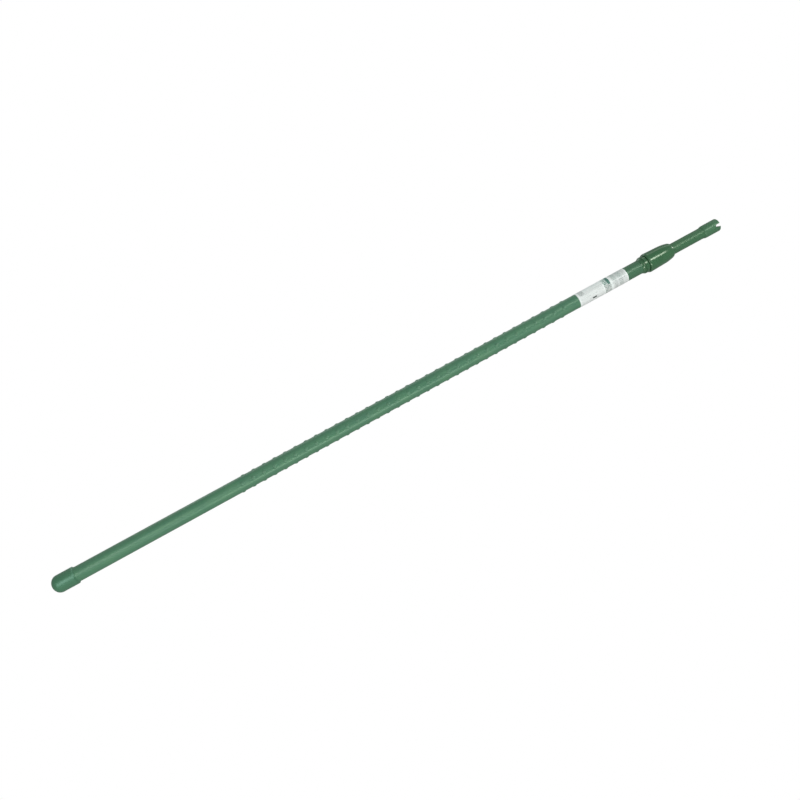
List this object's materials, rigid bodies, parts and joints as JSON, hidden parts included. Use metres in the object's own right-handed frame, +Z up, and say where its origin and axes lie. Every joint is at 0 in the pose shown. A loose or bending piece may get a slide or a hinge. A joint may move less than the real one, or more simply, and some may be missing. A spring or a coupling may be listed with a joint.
{
  "type": "telescopic garden stake",
  "caption": "Coated steel garden stake: a studded outer tube with a round foot, a smooth inner tube that slides out, a twist lock and a slotted top cap.",
  "frame": {"origin": "tip of the foot cap, on the pole's axis", "axes": "+Z up the pole from foot to top as it stands in the soil; +Y along the top cap's slot; +X completes the right-handed set"},
  "size_m": [0.0282, 0.0282, 1.03],
  "materials": {
    "tube_steel": "bare thin-walled tube",
    "outer_skin_resin": "satin green resin skin",
    "foot_cap_resin": "satin moulded green",
    "label_paper": null,
    "collar_plastic": "glossy moulded dark green",
    "collet_nylon": "natural nylon",
    "nut_plastic": "glossy moulded dark green",
    "bush_nylon": "natural nylon",
    "plug_plastic": "moulded black",
    "inner_skin_resin": "smooth semi-gloss green resin skin",
    "top_cap_resin": "satin moulded dark green"
  },
  "bodies": {
    "outer_pole": {"outer_steel_tube": "tube_steel", "outer_green_skin": "outer_skin_resin", "foot_cap": "foot_cap_resin", "label_sleeve": "label_paper", "lock_collar": "collar_plastic"},
    "clamp_collet": {"clamp_collet": "collet_nylon"},
    "lock_nut": {"lock_nut": "nut_plastic"},
    "slider_bush": {"slider_bush": "bush_nylon"},
    "inner_pole": {"inner_steel_tube": "tube_steel", "inner_green_skin": "inner_skin_resin", "inner_end_plug": "plug_plastic", "top_cap": "top_cap_resin"}
  },
  "joints": [
    {"name": "collet_lift", "type": "slide", "parent": "outer_pole", "child": "clamp_collet", "axis": [0, 0, 1], "range_m": [0, 0.0023]},
    {"name": "nut_turn", "type": "hinge", "parent": "clamp_collet", "child": "lock_nut", "pos_m": [0, 0, 0.928], "axis": [0, 0, 1], "range_deg": [0, 270]},
    {"name": "inner_slide", "type": "slide", "parent": "outer_pole", "child": "slider_bush", "axis": [0, 0, 1], "range_m": [0, 0.8]},
    {"name": "inner_turn", "type": "hinge", "parent": "slider_bush", "child": "inner_pole", "pos_m": [0, 0, 0.5], "axis": [0, 0, 1], "continuous": true}
  ],
  "couplings": [
    {"joint": "collet_lift", "follows": "nut_turn", "m_per_rad": 0.00047746}
  ]
}
